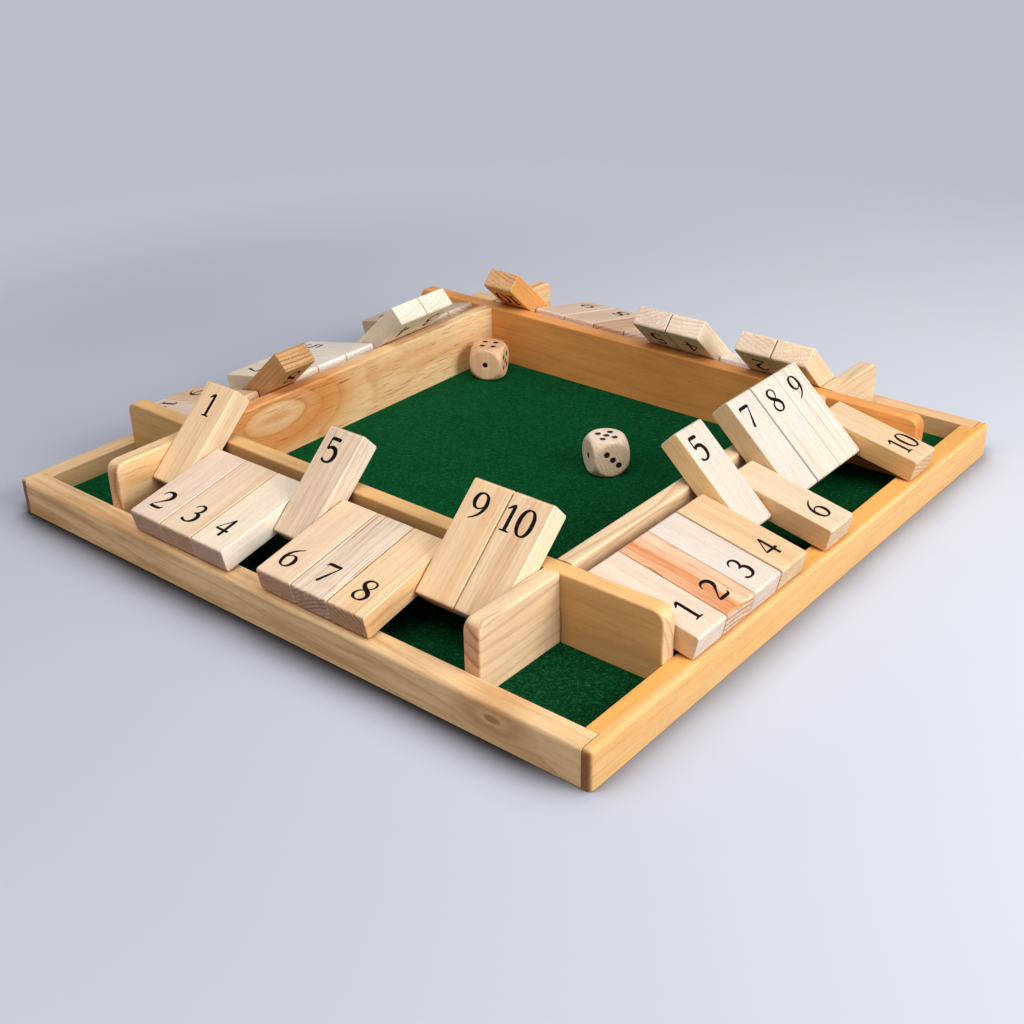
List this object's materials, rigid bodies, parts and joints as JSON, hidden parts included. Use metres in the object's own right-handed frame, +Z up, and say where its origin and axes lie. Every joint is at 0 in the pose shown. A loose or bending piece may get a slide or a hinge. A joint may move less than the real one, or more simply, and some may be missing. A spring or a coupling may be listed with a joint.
{
  "type": "shut the box game board",
  "caption": "Square wooden game board: felt dice tray in the middle, and along each side a trough of numbered tiles that flip over on a rod. Loose dice lie in the tray.",
  "frame": {"origin": "on the table, under the middle of the board", "axes": "+Z up; -Y is the front side and +X the right-hand side; each side's numbers run from its own player's left to right"},
  "size_m": [0.29, 0.29, 0.0534],
  "materials": {
    "rail_pine": "clear satin varnish on pale pine",
    "rail_pine_golden": "clear satin varnish on golden pine",
    "wall_pine": "clear satin varnish on pine with darker streaks",
    "tile_wood": "smooth, thinly sealed pale softwood, a few tiles much darker",
    "die_wood": "tumbled and waxed pale hardwood",
    "plywood": "unsealed thin plywood",
    "green_felt": "matt pressed wool-like felt, dark green",
    "rod_steel": "drawn wire, bright",
    "pin_steel": "bright wire pins",
    "black_ink": "matt black printed ink"
  },
  "bodies": {
    "board": {"rail_front": "rail_pine", "rail_right": "rail_pine_golden", "rail_back": "rail_pine", "rail_left": "rail_pine_golden", "wall_front": "wall_pine", "wall_right": "wall_pine", "wall_back": "wall_pine", "wall_left": "wall_pine", "rod_front": "rod_steel", "rod_right": "rod_steel", "rod_back": "rod_steel", "rod_left": "rod_steel", "base_board": "plywood", "felt": "green_felt", "rail_pins": "pin_steel", "wall_pins": "pin_steel"},
    "tile_front_1_body": {"tile_front_1": "tile_wood"},
    "tile_front_2_body": {"tile_front_2": "tile_wood"},
    "tile_front_3_body": {"tile_front_3": "tile_wood"},
    "tile_front_4_body": {"tile_front_4": "tile_wood"},
    "tile_front_5_body": {"tile_front_5": "tile_wood"},
    "tile_front_6_body": {"tile_front_6": "tile_wood"},
    "tile_front_7_body": {"tile_front_7": "tile_wood"},
    "tile_front_8_body": {"tile_front_8": "tile_wood"},
    "tile_front_9_body": {"tile_front_9": "tile_wood"},
    "tile_front_10_body": {"tile_front_10": "tile_wood"},
    "tile_right_1_body": {"tile_right_1": "tile_wood"},
    "tile_right_2_body": {"tile_right_2": "tile_wood"},
    "tile_right_3_body": {"tile_right_3": "tile_wood"},
    "tile_right_4_body": {"tile_right_4": "tile_wood"},
    "tile_right_5_body": {"tile_right_5": "tile_wood"},
    "tile_right_6_body": {"tile_right_6": "tile_wood"},
    "tile_right_7_body": {"tile_right_7": "tile_wood"},
    "tile_right_8_body": {"tile_right_8": "tile_wood"},
    "tile_right_9_body": {"tile_right_9": "tile_wood"},
    "tile_right_10_body": {"tile_right_10": "tile_wood"},
    "tile_back_1_body": {"tile_back_1": "tile_wood"},
    "tile_back_2_body": {"tile_back_2": "tile_wood"},
    "tile_back_3_body": {"tile_back_3": "tile_wood"},
    "tile_back_4_body": {"tile_back_4": "tile_wood"},
    "tile_back_5_body": {"tile_back_5": "tile_wood"},
    "tile_back_6_body": {"tile_back_6": "tile_wood"},
    "tile_back_7_body": {"tile_back_7": "tile_wood"},
    "tile_back_8_body": {"tile_back_8": "tile_wood"},
    "tile_back_9_body": {"tile_back_9": "tile_wood"},
    "tile_back_10_body": {"tile_back_10": "tile_wood"},
    "tile_left_1_body": {"tile_left_1": "tile_wood"},
    "tile_left_2_body": {"tile_left_2": "tile_wood"},
    "tile_left_3_body": {"tile_left_3": "tile_wood"},
    "tile_left_4_body": {"tile_left_4": "tile_wood"},
    "tile_left_5_body": {"tile_left_5": "tile_wood"},
    "tile_left_6_body": {"tile_left_6": "tile_wood"},
    "tile_left_7_body": {"tile_left_7": "tile_wood"},
    "tile_left_8_body": {"tile_left_8": "tile_wood"},
    "tile_left_9_body": {"tile_left_9": "tile_wood"},
    "tile_left_10_body": {"tile_left_10": "tile_wood"},
    "die_1_body": {"die_1": "die_wood"},
    "die_2_body": {"die_2": "die_wood"}
  },
  "joints": [
    {"name": "tile_front_1_flip", "type": "hinge", "parent": "board", "child": "tile_front_1_body", "pos_m": [-0.0792, -0.11, 0.027], "axis": [1, 0, 0], "range_deg": [0, 149.01]},
    {"name": "tile_front_2_flip", "type": "hinge", "parent": "board", "child": "tile_front_2_body", "pos_m": [-0.0616, -0.11, 0.027], "axis": [-1, 0, 0], "range_deg": [0, 149.01]},
    {"name": "tile_front_3_flip", "type": "hinge", "parent": "board", "child": "tile_front_3_body", "pos_m": [-0.044, -0.11, 0.027], "axis": [-1, 0, 0], "range_deg": [0, 149.01]},
    {"name": "tile_front_4_flip", "type": "hinge", "parent": "board", "child": "tile_front_4_body", "pos_m": [-0.0264, -0.11, 0.027], "axis": [-1, 0, 0], "range_deg": [0, 149.01]},
    {"name": "tile_front_5_flip", "type": "hinge", "parent": "board", "child": "tile_front_5_body", "pos_m": [-0.0088, -0.11, 0.027], "axis": [1, 0, 0], "range_deg": [0, 149.01]},
    {"name": "tile_front_6_flip", "type": "hinge", "parent": "board", "child": "tile_front_6_body", "pos_m": [0.0088, -0.11, 0.027], "axis": [-1, 0, 0], "range_deg": [0, 149.01]},
    {"name": "tile_front_7_flip", "type": "hinge", "parent": "board", "child": "tile_front_7_body", "pos_m": [0.0264, -0.11, 0.027], "axis": [-1, 0, 0], "range_deg": [0, 149.01]},
    {"name": "tile_front_8_flip", "type": "hinge", "parent": "board", "child": "tile_front_8_body", "pos_m": [0.044, -0.11, 0.027], "axis": [-1, 0, 0], "range_deg": [0, 149.01]},
    {"name": "tile_front_9_flip", "type": "hinge", "parent": "board", "child": "tile_front_9_body", "pos_m": [0.0616, -0.11, 0.027], "axis": [1, 0, 0], "range_deg": [0, 149.01]},
    {"name": "tile_front_10_flip", "type": "hinge", "parent": "board", "child": "tile_front_10_body", "pos_m": [0.0792, -0.11, 0.027], "axis": [1, 0, 0], "range_deg": [0, 149.01]},
    {"name": "tile_right_1_flip", "type": "hinge", "parent": "board", "child": "tile_right_1_body", "pos_m": [0.11, -0.0792, 0.027], "axis": [0, -1, 0], "range_deg": [0, 132.5]},
    {"name": "tile_right_2_flip", "type": "hinge", "parent": "board", "child": "tile_right_2_body", "pos_m": [0.11, -0.0616, 0.027], "axis": [0, -1, 0], "range_deg": [0, 149.01]},
    {"name": "tile_right_3_flip", "type": "hinge", "parent": "board", "child": "tile_right_3_body", "pos_m": [0.11, -0.044, 0.027], "axis": [0, -1, 0], "range_deg": [0, 149.01]},
    {"name": "tile_right_4_flip", "type": "hinge", "parent": "board", "child": "tile_right_4_body", "pos_m": [0.11, -0.0264, 0.027], "axis": [0, -1, 0], "range_deg": [0, 149.01]},
    {"name": "tile_right_5_flip", "type": "hinge", "parent": "board", "child": "tile_right_5_body", "pos_m": [0.11, -0.0088, 0.027], "axis": [0, 1, 0], "range_deg": [0, 149.01]},
    {"name": "tile_right_6_flip", "type": "hinge", "parent": "board", "child": "tile_right_6_body", "pos_m": [0.11, 0.0088, 0.027], "axis": [0, -1, 0], "range_deg": [0, 149.01]},
    {"name": "tile_right_7_flip", "type": "hinge", "parent": "board", "child": "tile_right_7_body", "pos_m": [0.11, 0.0264, 0.027], "axis": [0, 1, 0], "range_deg": [0, 149.01]},
    {"name": "tile_right_8_flip", "type": "hinge", "parent": "board", "child": "tile_right_8_body", "pos_m": [0.11, 0.044, 0.027], "axis": [0, 1, 0], "range_deg": [0, 149.01]},
    {"name": "tile_right_9_flip", "type": "hinge", "parent": "board", "child": "tile_right_9_body", "pos_m": [0.11, 0.0616, 0.027], "axis": [0, 1, 0], "range_deg": [0, 149.01]},
    {"name": "tile_right_10_flip", "type": "hinge", "parent": "board", "child": "tile_right_10_body", "pos_m": [0.11, 0.0792, 0.027], "axis": [0, -1, 0], "range_deg": [0, 132.5]},
    {"name": "tile_back_1_flip", "type": "hinge", "parent": "board", "child": "tile_back_1_body", "pos_m": [0.0792, 0.11, 0.027], "axis": [-1, 0, 0], "range_deg": [0, 149.01]},
    {"name": "tile_back_2_flip", "type": "hinge", "parent": "board", "child": "tile_back_2_body", "pos_m": [0.0616, 0.11, 0.027], "axis": [-1, 0, 0], "range_deg": [0, 149.01]},
    {"name": "tile_back_3_flip", "type": "hinge", "parent": "board", "child": "tile_back_3_body", "pos_m": [0.044, 0.11, 0.027], "axis": [1, 0, 0], "range_deg": [0, 149.01]},
    {"name": "tile_back_4_flip", "type": "hinge", "parent": "board", "child": "tile_back_4_body", "pos_m": [0.0264, 0.11, 0.027], "axis": [-1, 0, 0], "range_deg": [0, 149.01]},
    {"name": "tile_back_5_flip", "type": "hinge", "parent": "board", "child": "tile_back_5_body", "pos_m": [0.0088, 0.11, 0.027], "axis": [-1, 0, 0], "range_deg": [0, 149.01]},
    {"name": "tile_back_6_flip", "type": "hinge", "parent": "board", "child": "tile_back_6_body", "pos_m": [-0.0088, 0.11, 0.027], "axis": [1, 0, 0], "range_deg": [0, 149.01]},
    {"name": "tile_back_7_flip", "type": "hinge", "parent": "board", "child": "tile_back_7_body", "pos_m": [-0.0264, 0.11, 0.027], "axis": [1, 0, 0], "range_deg": [0, 149.01]},
    {"name": "tile_back_8_flip", "type": "hinge", "parent": "board", "child": "tile_back_8_body", "pos_m": [-0.044, 0.11, 0.027], "axis": [1, 0, 0], "range_deg": [0, 149.01]},
    {"name": "tile_back_9_flip", "type": "hinge", "parent": "board", "child": "tile_back_9_body", "pos_m": [-0.0616, 0.11, 0.027], "axis": [1, 0, 0], "range_deg": [0, 149.01]},
    {"name": "tile_back_10_flip", "type": "hinge", "parent": "board", "child": "tile_back_10_body", "pos_m": [-0.0792, 0.11, 0.027], "axis": [-1, 0, 0], "range_deg": [0, 149.01]},
    {"name": "tile_left_1_flip", "type": "hinge", "parent": "board", "child": "tile_left_1_body", "pos_m": [-0.11, 0.0792, 0.027], "axis": [0, 1, 0], "range_deg": [0, 132.5]},
    {"name": "tile_left_2_flip", "type": "hinge", "parent": "board", "child": "tile_left_2_body", "pos_m": [-0.11, 0.0616, 0.027], "axis": [0, 1, 0], "range_deg": [0, 149.01]},
    {"name": "tile_left_3_flip", "type": "hinge", "parent": "board", "child": "tile_left_3_body", "pos_m": [-0.11, 0.044, 0.027], "axis": [0, -1, 0], "range_deg": [0, 149.01]},
    {"name": "tile_left_4_flip", "type": "hinge", "parent": "board", "child": "tile_left_4_body", "pos_m": [-0.11, 0.0264, 0.027], "axis": [0, -1, 0], "range_deg": [0, 149.01]},
    {"name": "tile_left_5_flip", "type": "hinge", "parent": "board", "child": "tile_left_5_body", "pos_m": [-0.11, 0.0088, 0.027], "axis": [0, 1, 0], "range_deg": [0, 149.01]},
    {"name": "tile_left_6_flip", "type": "hinge", "parent": "board", "child": "tile_left_6_body", "pos_m": [-0.11, -0.0088, 0.027], "axis": [0, 1, 0], "range_deg": [0, 149.01]},
    {"name": "tile_left_7_flip", "type": "hinge", "parent": "board", "child": "tile_left_7_body", "pos_m": [-0.11, -0.0264, 0.027], "axis": [0, 1, 0], "range_deg": [0, 149.01]},
    {"name": "tile_left_8_flip", "type": "hinge", "parent": "board", "child": "tile_left_8_body", "pos_m": [-0.11, -0.044, 0.027], "axis": [0, -1, 0], "range_deg": [0, 149.01]},
    {"name": "tile_left_9_flip", "type": "hinge", "parent": "board", "child": "tile_left_9_body", "pos_m": [-0.11, -0.0616, 0.027], "axis": [0, 1, 0], "range_deg": [0, 149.01]},
    {"name": "tile_left_10_flip", "type": "hinge", "parent": "board", "child": "tile_left_10_body", "pos_m": [-0.11, -0.0792, 0.027], "axis": [0, 1, 0], "range_deg": [0, 132.5]},
    {"name": "die_1_lift", "type": "slide", "parent": "board", "child": "die_1_body", "axis": [0, 0, 1], "range_m": [0, 0.06]},
    {"name": "die_2_lift", "type": "slide", "parent": "board", "child": "die_2_body", "axis": [0, 0, 1], "range_m": [0, 0.06]}
  ]
}
